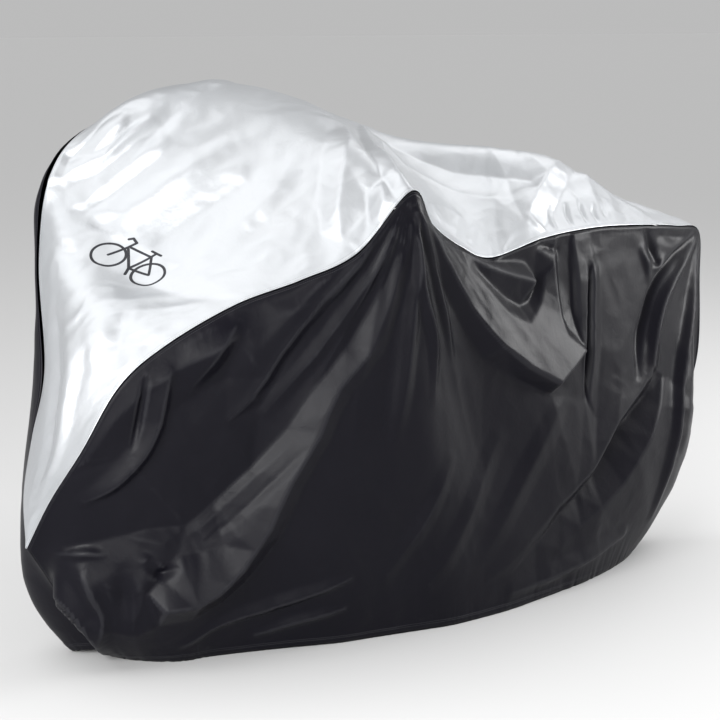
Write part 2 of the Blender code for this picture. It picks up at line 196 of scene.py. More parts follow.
SAME_PLACE = 1e-4  # corners of facets closer than this are one


def cubic(a, b, c, d, t):
    """The cubic from b at 0 to c at 1 whose slopes there are half of c - a and d - b."""
    return b + t / 2 * (c - a + t * (2 * a - 5 * b + 4 * c - d + t * (3 * (b - c) + d - a)))


def curve_through(points, at):
    """Smooth curve through points, which carry straight on for one step at each end."""
    points = np.asarray(points, float)
    points = np.vstack((2 * points[0] - points[1], points, 2 * points[-1] - points[-2]))
    first = np.clip(at.astype(int), 0, len(points) - 4)
    return cubic(*(points[first + k] for k in range(4)), (at - first)[..., None])


def column(name, at):
    """The line that one column of the sections makes along the cover."""
    return curve_through([getattr(section, name) for section in SECTIONS], at)


def strip_surface(at, across):
    """Points of the strip: across each section, three cubic steps pass through the
    near seam at 0, the lap, the crown and the far seam at 1."""
    near, lap, crown, far = (column(name, at) for name in RIBS)
    points = np.stack((2 * near - lap, near, lap, crown, far, 2 * far - crown))
    first = np.clip((across * 3).astype(int), 0, 2)
    item = np.arange(len(at))
    return cubic(*(points[first + k, item] for k in range(4)), (across * 3 - first)[..., None])


def strip_chart(at, across):
    """Metres from the toe along the strip's middle and from the near seam across it,
    then how far along a seam a place lies, and how far in from the nearest one."""
    fine = np.linspace(0, LAST, LENGTH_STEPS)
    middle = sum(column(name, fine) for name in RIBS) / 4
    length = np.append(0, np.cumsum(np.linalg.norm(np.diff(middle, axis=0), axis=1)))
    ribs = [column(name, at) for name in RIBS]
    chords = [np.linalg.norm(b - a, axis=-1) for a, b in zip(ribs, ribs[1:])]
    over = sum(chord * np.clip(across * 3 - k, 0, 1) for k, chord in enumerate(chords))
    along = np.interp(at, fine, length)
    return along, over, along, np.minimum(over, sum(chords) - over)


def fold_height(x, y, folds):
    """Height of the folds, in metres, at flat places. A fold is a tent: its height
    falls in a straight line from 1 at the path to 0 where its flank ends, and the
    crest and the foot are rounded as the square root of a square and a constant."""
    total = np.zeros(len(x))
    for fold in folds:
        ends = len(fold.path) - 1
        path = [(*point, point[-1])[:5] for point in fold.path]
        line = curve_through(np.divide(path, (1000, 1000, 1, 1, 1)),
                             np.linspace(0, ends, ends * FOLD_STEPS + 1))
        reach = line[:, 3:].max() / 1000 * RUN_OUT
        (x0, y0), (x1, y1) = line[:, :2].min(0) - reach, line[:, :2].max(0) + reach
        here = np.flatnonzero((x > x0) & (x < x1) & (y > y0) & (y < y1))
        px, py = x[here], y[here]
        nearest = np.full(len(here), np.inf)
        shape = np.zeros((len(here), 3))
        side = np.zeros(len(here))
        for a, b in zip(line, line[1:]):
            ab = b - a
            length = np.hypot(ab[0], ab[1])
            s = np.clip(((px - a[0]) * ab[0] + (py - a[1]) * ab[1]) / length ** 2, 0, 1)
            dx = px - a[0] - s * ab[0]
            dy = py - a[1] - s * ab[1]
            distance = np.hypot(dx, dy)
            closer = distance < nearest
            nearest = np.where(closer, distance, nearest)
            side = np.where(closer, (ab[0] * dy - ab[1] * dx) / (length * distance + 1e-9), side)
            shape[closer] = (a[2:] + s[:, None] * ab[2:])[closer]
        height, left, right = shape.T / 1000
        flank = (left + right) / 2 + (left - right) / 2 * side
        ratio = np.sqrt((nearest / flank) ** 2 + fold.crest ** 2) - fold.crest
        tent = (1 - ratio + np.sqrt((1 - ratio) ** 2 + FOOT ** 2)) / 2
        total[here] += height * (tent - FOOT ** 2 / 4 / np.maximum(ratio, 1)) * (ratio < RUN_OUT)
    return total


def noise(x, y, seed):
    """Smooth noise of about -0.7 to 0.7: a seeded random slope at each whole-numbered
    corner, and the four slopes blended by 6t^5 - 15t^4 + 10t^3 both ways."""
    cells = 64  # corners each way before the noise repeats
    turn = np.random.default_rng(seed).uniform(0, 2 * pi, (cells, cells))
    x0, y0 = np.floor(x).astype(int), np.floor(y).astype(int)
    fx, fy = x - x0, y - y0
    blend_x, blend_y = (t ** 3 * (t * (6 * t - 15) + 10) for t in (fx, fy))
    rows = []
    for j in (0, 1):
        pair = []
        for i in (0, 1):
            angle = turn[(x0 + i) % cells, (y0 + j) % cells]
            pair.append(np.cos(angle) * (fx - i) + np.sin(angle) * (fy - j))
        rows.append(pair[0] + (pair[1] - pair[0]) * blend_x)
    return rows[0] + (rows[1] - rows[0]) * blend_y


def creases(x, y, seed, sharp=.06):
    """Sharp-edged crumples, about -0.8 to 0.25: noise folded over at zero, with its
    fold rounded by sharp, at places that a slower noise pushes about."""
    bend = .6 * noise(x * .7 + 9, y * .7, seed + 1)
    return .35 - np.sqrt(noise(x + bend, y + bend, seed) ** 2 + sharp ** 2) * 1.6


def fade(distance):
    """0 at an edge and 1 from one unit away, level at both ends."""
    distance = np.clip(distance, 0, 1)
    return distance ** 2 * (3 - 2 * distance)


def facet_height(x, y, creases_, border):
    """Height of the facets, in metres, at flat places: triangles joined by Delaunay's
    rule, which keeps each crease as an edge, and level with the border. Each place
    takes the mean of four places a little to its sides, which rounds the creases."""
    corners = [tuple(point) for point in border]
    edges = []
    for crease in creases_:
        edges += [(len(corners) + k, len(corners) + k + 1) for k in range(len(crease.points) - 1)]
        corners += [(px / 1000, py / 1000, out) for px, py, out in crease.points]
    found, _, triangles, sources = delaunay_2d_cdt(
        [Vector(corner[:2]) for corner in corners], edges, [], 0, SAME_PLACE)[:4]
    heights = [corners[source[0]][2] / 1000 if source else 0 for source in sources]
    total = np.zeros(len(x))
    for dx, dy in ((1, 0), (-1, 0), (0, 1), (0, -1)):
        px, py = x + dx * CREASE_SOFT, y + dy * CREASE_SOFT
        for triangle in triangles:
            a, b, c = (found[k] for k in triangle)
            here = np.flatnonzero((px >= min(a.x, b.x, c.x)) & (px <= max(a.x, b.x, c.x))
                                  & (py >= min(a.y, b.y, c.y)) & (py <= max(a.y, b.y, c.y)))
            area = (b - a).cross(c - a)
            if not len(here) or abs(area) < 1e-9:
                continue
            qx, qy = px[here] - a.x, py[here] - a.y
            to_b = (qx * (c.y - a.y) - qy * (c.x - a.x)) / area
            to_c = (qy * (b.x - a.x) - qx * (b.y - a.y)) / area
            inside = (to_b >= 0) & (to_c >= 0) & (to_b + to_c < 1)
            ha, hb, hc = (heights[k] for k in triangle)
            total[here[inside]] += (ha + to_b * (hb - ha) + to_c * (hc - ha))[inside] / 4
    return total


CRUMPLE = (.0032, .0014)  # height of the strip's larger and smaller crumples
PUCKER = .0016  # height of the puckers by a seam
PUCKER_REACH = .016  # and how far in from it they go
PUCKER_START = .005  # they rise over this distance from the stitches


def strip_height(at, across):
    """Height of the strip's facets and folds, its finer crumples, which are 0.55 to
    1.65 of their height from place to place, and the puckers by its seams."""
    along, over, _, from_seam = strip_chart(at, across)
    ends = fade(np.minimum(at, LAST - at) / END_FADE)
    crumple = (CRUMPLE[0] * creases(along * 7, over * 11, 11)
               + CRUMPLE[1] * creases(along * 17, over * 24, 12))
    crumple *= .55 + 1.1 * fade(.5 + noise(along * 3, over * 3, 13))
    pucker = PUCKER * creases(along * 46, over * 9, 14) * np.exp(-from_seam / PUCKER_REACH)
    ring = np.linspace(0, LAST, BORDER_POINTS)
    border = [(*place, 0) for edge in (0, 1)
              for place in zip(*strip_chart(ring, np.full(BORDER_POINTS, edge))[:2])]
    facets = facet_height(along, over, STRIP_CREASES, border)
    folds = fold_height(along, over, STRIP_FOLDS)
    return ends * (facets + fade(from_seam / SEAM_FADE) * (folds + crumple)
                   + fade(from_seam / PUCKER_START) * pucker)


def new_object(name, data):
    """An object of the scene with the given data, at the origin."""
    thing = bpy.data.objects.new(name, data)
    bpy.context.scene.collection.objects.link(thing)
    return thing


BEND_UNIT = .0004  # a point this far above those around it is bent by 1


def sheet_of_cloth(name, surface, height, chart, lift, places_along, places_across):
    """One piece of cloth: a grid laid on its surface, raised by its height and lift
    along the surface's own normal. Solidify turns its edges in by its thickness. Its
    attribute flat holds each point's place on the flat cloth and how far in from an
    edge it is, in metres, run how far along the edge, and bent how sharply the cloth is
    bent there: over 0 on a crest and under 0 in a trough."""
    columns, rows = len(places_along) - 1, len(places_across) - 1
    at, across = (grid.ravel() for grid in np.meshgrid(places_along, places_across, indexing="ij"))
    step = .002
    normal = np.cross(
        surface(np.minimum(at + step, LAST), across) - surface(np.maximum(at - step, 0), across),
        surface(at, np.minimum(across + step, 1)) - surface(at, np.maximum(across - step, 0)))
    outward = np.sign(places_across[-1] - places_across[0])
    normal *= outward / np.linalg.norm(normal, axis=1, keepdims=True)
    raised = height(at, across)
    points = surface(at, across) + normal * (raised + lift)[:, None] + CENTRE
    around = np.pad(raised.reshape(columns + 1, rows + 1), 1, mode="edge")
    mean = (around[:-2, 1:-1] + around[2:, 1:-1] + around[1:-1, :-2] + around[1:-1, 2:]) / 4
    first = (np.arange(columns)[:, None] * (rows + 1) + np.arange(rows)).ravel()
    faces = np.column_stack((first, first + rows + 1, first + rows + 2, first + 1))
    mesh = bpy.data.meshes.new(name)
    mesh.from_pydata(points, [], faces)
    x, y, run, from_edge = chart(at, across)
    bend = (raised.reshape(columns + 1, rows + 1) - mean).ravel() / BEND_UNIT
    flat = mesh.attributes.new("flat", "FLOAT_VECTOR", "POINT")
    flat.data.foreach_set("vector", np.stack((x, y, from_edge), 1).ravel())
    mesh.attributes.new("run", "FLOAT", "POINT").data.foreach_set("value", run)
    mesh.attributes.new("bent", "FLOAT", "POINT").data.foreach_set("value", bend)
    mesh.shade_smooth()
    cloth = new_object(name, mesh)
    rim = cloth.modifiers.new("rim", "SOLIDIFY")
    rim.thickness = CLOTH
    rim.offset = -1
    rim.use_rim_only = True
    return cloth


FIRST_SECTION = .010  # the grids start this far in from the toe and the heel
CLOSEST = 10  # section where the columns are closest together
CLOSE_REACH = 3  # and how many sections away they still are


def even_sections(columns):
    """Section numbers that space the columns evenly along the near seam and the hem,
    but two thirds as far apart behind the handlebar, where the folds are finest."""
    fine = np.linspace(FIRST_SECTION, LAST - FIRST_SECTION, 3000)
    path = column("near", fine) + column("near_hem", fine)
    steps = np.linalg.norm(np.diff(path, axis=0), axis=1)
    steps *= 1 + .5 * np.exp(-((fine[1:] - CLOSEST) / CLOSE_REACH) ** 2)
    length = np.append(0, np.cumsum(steps))
    return np.interp(np.linspace(0, length[-1], columns + 1), length, fine)


class Nodes:
    """Builds a material's nodes: a call adds one node and links or sets its inputs."""

    def __init__(self, name):
        self.material = bpy.data.materials.new(name)
        self.material.use_nodes = True
        self.tree = self.material.node_tree
        self.shader = self.tree.nodes["Principled BSDF"]

    def add(self, kind, inputs=(), out=0, **settings):
        node = self.tree.nodes.new("ShaderNode" + kind)
        for key, value in settings.items():
            setattr(node, key, value)
        for key, value in dict(inputs).items():
            self.link(node, key, value)
        return node.outputs[out]

    def link(self, node, key, value):
        if isinstance(value, bpy.types.NodeSocket):
            self.tree.links.new(value, node.inputs[key])
        else:
            node.inputs[key].default_value = value

    def set(self, **inputs):
        for key, value in inputs.items():
            self.link(self.shader, key.replace("_", " "), value)

    def math(self, operation, a, b=0.0):
        return self.add("Math", {0: a, 1: b}, operation=operation)

    def mix(self, share, a, b):
        return self.add("MixRGB", {0: share, 1: a, 2: b})

    def vector(self, operation, a, b=(0, 0, 0), out=0, **named):
        return self.add("VectorMath", {0: a, 1: b, **named}, out=out, operation=operation)

    def ramp(self, value, low, high, to_low=0.0, to_high=1.0):
        names = ("Value", "From Min", "From Max", "To Min", "To Max")
        return self.add("MapRange", dict(zip(names, (value, low, high, to_low, to_high))))

    def noise(self, where, scale, detail=2.0, distortion=0.0):
        return self.add("TexNoise", {"Vector": where, "Scale": scale, "Detail": detail,
                                     "Distortion": distortion})

    def weave(self, where, pitch):
        """Plain weave, over and under by turns: the product of a wave each way."""
        inputs = {"Vector": where, "Scale": pi / 10 / pitch, "Distortion": .3}
        warp, weft = (self.add("TexWave", inputs, bands_direction=way) for way in ("X", "Y"))
        return self.math("MULTIPLY", warp, weft)


STITCH = .0042  # length of one stitch and the gap after it


def stitches(nodes, rows):
    """1 on the rows of stitches, which lie at the given distances from an edge, and 0
    off them: within 0.5 mm of a row, while a wave along the edge is over a level."""
    run = nodes.add("Attribute", attribute_name="run", out="Fac")
    flat = nodes.add("Attribute", attribute_name="flat", out="Vector")
    from_edge = nodes.add("SeparateXYZ", {0: flat}, out="Z")
    nearest = nodes.math("MINIMUM", *(
        nodes.math("ABSOLUTE", nodes.math("SUBTRACT", from_edge, row)) for row in rows))
    dash = nodes.ramp(nodes.math("SINE", nodes.math("MULTIPLY", run, 2 * pi / STITCH)), -.5, -.2)
    return nodes.math("MULTIPLY", dash, nodes.ramp(nearest, .0007, .0004))


PRINT_AT = (.667, .256)  # middle of the printed bicycle, on the flat strip
PRINT_UP = atan2(.19, .98)  # how far its upright leans from the strip's length
PRINT_LINE = .0026  # half the width of a printed line
WHEEL = .0290  # radius of its wheels
HUBS = ((-.043, -.003), (.045, -.003))
STROKES = (  # its frame, bar, saddle, fork and crank
    ((.005, -.007), (.021, .044)), ((.011, .047), (.032, .046)), ((-.026, .034), (.018, .035)),
    ((-.028, .029), (.005, -.007)), ((.005, -.007), (.045, -.003)), ((.019, .035), (.045, -.003)),
    ((-.025, .048), (-.043, -.003)), ((-.025, .048), (-.037, .053)), ((-.037, .053), (-.042, .047)),
    ((.005, -.007), (.011, -.022)),
)


def printed_bicycle(nodes, flat):
    """1 on the printed lines and 0 off them, by the least distance to a wheel's rim,
    which is that from its hub less the radius, or to the nearest point of a stroke."""
    level = nodes.vector("MULTIPLY", flat, (1, 1, 0))
    turned = nodes.add("Mapping", {"Vector": level, "Location": (*PRINT_AT, 0),
                                   "Rotation": (0, 0, -pi / 2 + PRINT_UP)}, vector_type="TEXTURE")
    distances = []
    for hub in HUBS:
        radius = nodes.vector("DISTANCE", turned, (*hub, 0), out="Value")
        distances.append(nodes.math("ABSOLUTE", nodes.math("SUBTRACT", radius, WHEEL)))
    for start, end in STROKES:
        run = (end[0] - start[0], end[1] - start[1], 0)
        from_start = nodes.vector("SUBTRACT", turned, (*start, 0))
        share = nodes.math("MULTIPLY", nodes.vector("DOT_PRODUCT", from_start, run, out="Value"),
                           1 / (run[0] ** 2 + run[1] ** 2))
        share = nodes.math("MINIMUM", nodes.math("MAXIMUM", share, 0.0), 1.0)
        foot = nodes.vector("SCALE", run, Scale=share)
        distances.append(nodes.vector("DISTANCE", from_start, foot, out="Value"))
    least = distances[0]
    for distance in distances[1:]:
        least = nodes.math("MINIMUM", least, distance)
    return nodes.ramp(least, PRINT_LINE + .0004, PRINT_LINE - .0004)


Look = namedtuple("Look", "dark light worn worn_share rub thread rows metallic specular "
                          "rough rubbed_rough clouds crinkles twist depth")
SILVER = Look(
    dark=(.40, .415, .435, 1), light=(.475, .487, .502, 1),  # the coating, from cloud to cloud
    worn=(.38, .39, .41, 1), worn_share=.35,  # its colour where rubbed, and how much shows
    rub=(.15, 1.2),  # bends at which rubbing starts and is full
    thread=(.30, .31, .33, 1), rows=(.0025, .0080),  # stitches, and metres from a seam
    metallic=.60, specular=.5, rough=(.38, .46), rubbed_rough=.08,
    clouds=3.5, crinkles=60.0, twist=1.2, depth=.0016)  # sizes of the noises, and depth
INK = (.02, .02, .024, 1)
THREADS = .0011  # from one thread of the weave to the next


def coated_cloth(name, look, drawing=None):
    """Woven yarn under a coating, satin and a little cloudy, duller where creases have
    rubbed it, with its rows of stitches and, if one is given, a printed drawing."""
    nodes = Nodes(name)
    flat = nodes.add("Attribute", attribute_name="flat", out="Vector")
    bent = nodes.add("Attribute", attribute_name="bent", out="Fac")
    place = nodes.add("TexCoord", out="Object")
    cloud = nodes.noise(place, look.clouds, 3.0)
    rubbed = nodes.ramp(bent, *look.rub)
    colour = nodes.mix(cloud, look.dark, look.light)
    colour = nodes.mix(nodes.math("MULTIPLY", rubbed, look.worn_share), colour, look.worn)
    if drawing:
        patchy = nodes.ramp(nodes.noise(place, 900.0), .2, .45, .8, 1.0)
        colour = nodes.mix(nodes.math("MULTIPLY", drawing(nodes, flat), patchy), colour, INK)
    sewn = stitches(nodes, look.rows)
    crinkle = nodes.noise(place, look.crinkles, 3.0, look.twist)
    bumps = None
    for strength, distance, height in (
            (.22, look.depth, crinkle), (.16, .0002, nodes.weave(flat, THREADS)),
            (.6, .0005, sewn)):
        inputs = {"Strength": strength, "Distance": distance, "Height": height}
        if bumps:
            inputs["Normal"] = bumps
        bumps = nodes.add("Bump", inputs)
    nodes.set(Base_Color=nodes.mix(sewn, colour, look.thread), Metallic=look.metallic,
              Specular_IOR_Level=look.specular, Normal=bumps,
              Roughness=nodes.math("ADD", nodes.ramp(cloud, .3, .7, *look.rough),
                                   nodes.math("MULTIPLY", rubbed, look.rubbed_rough)))
    return nodes.material


strip = sheet_of_cloth("silver_strip", strip_surface, strip_height, strip_chart, 2 * CLOTH,
                       even_sections(STRIP_COLUMNS), np.linspace(0, 1, STRIP_ROWS + 1))
strip.data.materials.append(coated_cloth("silver_cloth", SILVER, printed_bicycle))
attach(strip, "root")
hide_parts("top_strip")

# ------------------------------
# Near panel. One piece of black-coated plain weave, from the lapped seam to the ground.
# It hangs from the low end of the handlebar in a fan of folds, and is drawn in along
# the hem by a cord sewn into it at the front and the rear.
SEAM_GAP = .0006  # the black lies this far inside the silver along the seam
SEAM_DROP = .0034  # and starts this far below its line, as a share of the panel
NEAR_COLUMNS = 500  # faces along the panel
NEAR_ROWS = 190  # and down it
# As for the strip, but the points of creases and folds are given as millimetres back
# and up.
NEAR_CREASES = [Crease(*row) for row in (
    ("band foot", ((-222, 880, -2), (-267, 781, -5), (-326, 678, -9), (-393, 593, -9),
     (-444, 512, -8), (-514, 432, -11), (-589, 362, -13), (-650, 318, -9), (-699, 285, -2),
     (-694, 250, 2), (-700, 215, 6), (-728, 186, 14))),
    ("band crest", ((-205, 890, 3), (-238, 780, 10), (-275, 676, 17), (-342, 597, 19),
     (-366, 548, 23), (-384, 500, 27), (-412, 452, 31), (-440, 405, 37), (-463, 356, 43),
     (-484, 310, 48), (-512, 270, 53), (-542, 230, 58), (-590, 188, 63), (-642, 162, 61),
     (-694, 158, 50))),
    ("band tuck", ((-192, 880, -2), (-212, 768, 0), (-248, 660, 4), (-312, 578, 5), (-338, 530, 7),
     (-356, 482, 9), (-384, 434, 11), (-410, 386, 13), (-430, 334, 16), (-450, 286, 17),
     (-484, 240, 18), (-524, 190, 20), (-576, 146, 22), (-636, 118, 24), (-700, 114, 24))),
    ("rib crest", ((-300, 885, 4), (-339, 831, 9), (-381, 788, 12), (-429, 727, 14),
     (-463, 678, 14), (-490, 628, 10), (-516, 585, 4), (-570, 530, -2))),
    ("shoulder", ((-850, 480, 5), (-800, 560, 10), (-740, 618, 13), (-660, 668, 15),
     (-560, 716, 15), (-460, 762, 12), (-390, 806, 7))),
    ("shoulder foot", ((-780, 480, 0), (-720, 545, -2), (-650, 590, -3), (-570, 630, -4))),
    ("rib tuck", ((-286, 868, -3), (-325, 813, -6), (-367, 770, -7), (-414, 711, -9),
     (-448, 664, -11), (-476, 612, -12), (-500, 565, -12))),
    ("wheel line", ((-905, 290, -3), (-870, 288, -8), (-784, 306, -15), (-722, 318, -16))),
    ("wheel swell", ((-878, 232, 6), (-820, 215, 17), (-755, 190, 22))),
    ("wheel foot", ((-842, 130, 16), (-790, 110, 27), (-740, 95, 30))),
    ("swag edge", ((-186, 968, 6), (-160, 932, 12), (-127, 894, 16), (-90, 840, 20), (-49, 782, 24),
     (-5, 724, 28), (34, 680, 38), (76, 638, 47), (150, 584, 57), (245, 534, 64), (305, 562, 52),
     (361, 592, 40))),
    ("swag tuck", ((-192, 935, 0), (-148, 876, 0), (-112, 822, 0), (-72, 764, 0), (-28, 705, 0),
     (10, 654, 1), (50, 610, 3), (136, 556, 7), (238, 506, 12), (260, 504, 12), (322, 538, 10),
     (378, 572, 8))),
    ("star pocket", ((-60, 868, 8), (-10, 822, 13), (26, 786, 17), (63, 750, 21), (109, 707, 26),
     (142, 690, 28), (176, 677, 30), (202, 692, 23), (228, 713, 16), (244, 742, 9), (250, 765, 5))),
    ("pocket floor", ((34, 806, 7), (80, 766, 8), (122, 738, 7), (166, 718, 4), (198, 724, -1),
     (218, 746, -6), (228, 770, -8))),
    ("pocket ridge", ((6, 846, 9), (50, 822, 13), (106, 800, 17), (160, 784, 20), (206, 770, 22))),
    ("seam pocket", ((80, 828, -2), (130, 822, -4), (190, 812, -4))),
    ("small facet", ((228, 842, 2), (284, 804, 9), (228, 770, -8), (206, 770, 22))),
    ("star side", ((284, 804, 9), (288, 760, 11), (290, 720, 14), (294, 680, 22), (303, 636, 32),
     (361, 592, 40))),
    ("star foot", ((304, 812, -4), (308, 760, -5), (310, 720, -4), (316, 676, 1), (332, 640, 8),
     (376, 596, 14))),
    ("grey band", ((346, 842, -4), (350, 796, -6), (354, 755, -6), (354, 690, -4), (360, 640, 4))),
    ("slit rib", ((356, 844, 2), (364, 796, 8), (368, 755, 10), (368, 690, 11), (370, 640, 11))),
    ("slit lip", ((405, 790, 4), (402, 744, 10), (394, 632, 13), (388, 570, 12), (390, 470, 3))),
    ("slit floor", ((414, 780, -4), (412, 744, -22), (405, 632, -28), (399, 550, -20),
     (398, 466, 0))),
    ("slit edge", ((424, 785, 6), (423, 744, 11), (416, 632, 14), (410, 550, 13), (406, 462, 6))),
    ("slit right", ((450, 790, 1), (454, 700, 4), (450, 600, 5), (440, 500, 4), (430, 420, 2))),
    ("long crease", ((640, 520, 5), (612, 468, 9), (548, 428, 14), (498, 396, 17), (452, 345, 18),
     (411, 301, 18), (350, 262, 18), (291, 231, 16), (210, 172, 12), (133, 118, 8), (60, 85, 3))),
    ("crease foot", ((664, 496, -5), (638, 444, -14), (576, 402, -20), (526, 370, -23),
     (480, 320, -22), (440, 276, -18), (378, 236, -12), (314, 204, -5), (230, 146, 1),
     (150, 94, 3))),
    ("pocket rim", ((700, 480, 2), (668, 410, 16), (625, 345, 25), (572, 290, 25), (520, 240, 20),
     (450, 196, 15), (380, 160, 11), (310, 122, 8))),
    ("slit plain", ((520, 700, 3), (524, 600, 5), (524, 520, 8), (516, 460, 11))),
    ("band hollow", ((-668, 258, 2), (-622, 262, 10), (-575, 275, 20), (-548, 296, 30))),
    ("hem patch foot", ((330, 66, 6), (430, 88, 9), (530, 118, 6))),
)]
NEAR_FOLDS = [Fold(*row) for row in (
    ("band rib", .10, ((-440, 480, 1, 14, 16), (-510, 412, 3, 15, 16), (-590, 340, 3, 14, 16),
     (-640, 300, 1, 12))),
    ("band crease", .10, ((-412, 470, -1, 10), (-485, 395, -3, 11, 10), (-560, 325, -3, 11, 10),
     (-610, 285, -1, 8))),
    ("soft rib", .12, ((-238, 925, 3, 10, 12), (-260, 864, 7, 14, 18), (-373, 694, 9, 20),
     (-418, 636, 7, 20), (-490, 550, 2, 20))),
    ("drop one", .10, ((-200, 930, 3, 12), (-180, 863, 8, 14, 18), (-184, 719, 10, 16, 24),
     (-192, 587, 9, 18, 26), (-205, 480, 1, 18, 22))),
    ("drop two", .08, ((-190, 955, 4, 9, 10), (-176, 861, 12, 14, 16), (-160, 781, 17, 16, 17),
     (-128, 692, 15, 18, 17), (-115, 620, 8, 18), (-115, 540, 1, 16))),
    ("drop three", .10, ((-178, 950, 2, 8, 9), (-130, 850, 10, 12), (-90, 745, 10, 13),
     (-70, 690, 6, 12), (-50, 630, 1, 12))),
    ("swag hollow", .40, ((-120, 680, -2, 60), (-40, 540, -9, 90), (80, 400, -10, 100),
     (200, 290, -2, 80))),
    ("seam nick", .10, ((238, 850, -8, 11), (275, 838, -11, 12, 11), (305, 830, -3, 10))),
    ("dent", .12, ((640, 840, -5, 12), (664, 800, -13, 18, 16), (682, 765, -7, 12))),
    ("dent lip", .10, ((668, 748, 3, 10), (692, 752, 8, 12), (712, 770, 3, 9))),
    ("dent brow", .10, ((620, 800, 4, 14), (640, 765, 10, 16, 14), (650, 730, 3, 14))),
    ("rack flat", .14, ((700, 830, -4, 20), (760, 820, -9, 24, 20), (830, 812, -3, 20, 16))),
    ("corner crease", .10, ((872, 808, -3, 10), (770, 770, -14, 16, 14), (684, 715, -19, 18, 16),
     (624, 628, -19, 20, 18), (596, 560, -12, 20, 18), (590, 500, -3, 16))),
    ("corner rib", .10, ((876, 794, 4, 12), (800, 745, 13, 20, 16), (712, 680, 18, 26, 18),
     (664, 600, 18, 28, 20), (650, 520, 10, 28, 22), (645, 440, 2, 22, 20))),
    ("rear rib", .10, ((896, 785, 6, 14, 12), (842, 640, 19, 24, 22), (792, 522, 23, 26),
     (752, 396, 22, 28, 26), (715, 243, 14, 26, 24), (686, 120, 4, 22, 20))),
    ("rear hollow", .16, ((905, 700, -4, 18, 20), (870, 560, -13, 22, 24), (822, 420, -13, 24),
     (772, 280, -4, 20))),
    ("low streak one", .16, ((300, 480, 3, 30), (180, 320, 9, 34), (60, 160, 3, 30))),
    ("low streak two", .16, ((100, 420, 3, 28), (0, 260, 9, 32), (-90, 120, 3, 28))),
    ("low streak three", .14, ((-60, 400, 2, 20, 24), (-120, 280, 8, 24, 26),
     (-200, 160, 3, 20, 24))),
    ("shin band", .09, ((-690, 655, 3, 12, 22), (-699, 600, 13, 14, 30), (-710, 540, 17, 15, 34),
     (-740, 480, 18, 15, 36), (-792, 422, 15, 14, 32), (-845, 388, 4, 12, 22))),
    ("seam rib", .12, ((-555, 748, 4, 20, 40), (-580, 712, 17, 24, 62), (-608, 668, 18, 24, 66),
     (-645, 615, 4, 20, 40))),
    ("shin slit", .10, ((-738, 640, -3, 8), (-744, 600, -11, 9), (-752, 545, -9, 9),
     (-762, 500, -2, 8))),
    ("toe patch", .10, ((-880, 270, 3, 10, 12), (-845, 274, 9, 12), (-815, 270, 2, 10))),
    ("toe rib", .10, ((-850, 240, 3, 14, 16), (-830, 190, 14, 16, 18), (-806, 140, 12, 16),
     (-800, 80, 3, 14))),
    ("toe pocket", .14, ((-780, 230, -4, 22), (-770, 180, -14, 26, 24), (-760, 130, -4, 20))),
    ("toe crumple", .10, ((-735, 255, 3, 14), (-705, 222, -12, 14, 12), (-675, 232, -3, 10))),
    ("toe lip", .08, ((-925, 262, 4, 14, 8), (-893, 206, 17, 24, 11), (-862, 155, 21, 28, 12),
     (-806, 80, 20, 28, 12), (-775, 30, 7, 20, 10))),
    ("hem streak one", .10, ((-640, 50, 3, 16, 10), (-560, 94, 9, 22, 12), (-472, 114, 12, 26, 13),
     (-380, 136, 10, 24, 12), (-293, 162, 3, 16, 10))),
    ("hem streak two", .10, ((-480, 50, 3, 14, 10), (-390, 72, 9, 18, 11), (-300, 90, 3, 14, 10))),
    ("hem roll", .12, ((160, 44, 4, 30, 14), (300, 56, 13, 36, 16), (430, 76, 14, 36, 16),
     (560, 100, 6, 26, 14))),
)]
Patch = namedtuple("Patch", "share x z width height")
# One row for each patch where the cloth is more crumpled, in metres.
CRUMPLED = [Patch(*row) for row in (
    (1.0, .44, .14, .12, .05), (.6, .62, .80, .09, .05), (2.6, -.75, .20, .09, .11),
    (1.2, -.60, .24, .10, .08),
)]
NEAR_SKEW = 1.6  # the near panel stands out most two thirds of the way down
PANEL_CRUMPLE = (.0030, .0013)  # height of a panel's larger and smaller crumples
RAY = .0060  # height of the rays of small pleats
RAY_START = .16  # they grow over this distance from where they meet
RAY_END = .85  # and are gone at this distance, over the last RAY_LAST
RAY_LAST = .5
PANEL_PUCKER_REACH = .018  # how far down from the seam the puckers go
GATHER = .0034  # height of the hem's gathers
GATHER_REACH = .045  # and how far up from it they go
CORD_FROM = (-.35, .15)  # the hem is drawn in before and behind these places
CORD_GROWS = .25  # over this distance
HEM_WIDTH = .017  # width of the turned and sewn hem
HEM_PROUD = .0011  # how far it stands out
LAP_WIDTH = .008  # width of the black that lies under the strip's seam
LAP_PROUD = .0012  # how far it stands out


def side_surface(at, drop, side):
    """Points of a side panel: straight from the seam at 0 to the hem at 1, moved
    level the way the section faces, by its fullness times a skewed half wave. The far
    panel's wave is highest near the seam at the handlebar, and further down at the
    front and the rear."""
    seam = column(side, at)
    hem = column(side + "_hem", at)
    near_belly, far_belly, facing = column("fullness", at).T
    far_skew = 0.5 + 0.9 * fade((facing - 100) / 60) + 0.3 * fade((98 - facing) / 6)
    belly, skew, sideways = (
        (near_belly, NEAR_SKEW, -1) if side == "near" else (far_belly, far_skew, 1))
    facing = np.radians(facing)
    outward = np.column_stack((np.cos(facing), sideways * np.sin(facing), np.zeros(len(at))))
    wave = np.sin(pi * drop ** skew) ** 0.9
    return seam + (hem - seam) * drop[:, None] + outward * (belly * wave)[:, None]


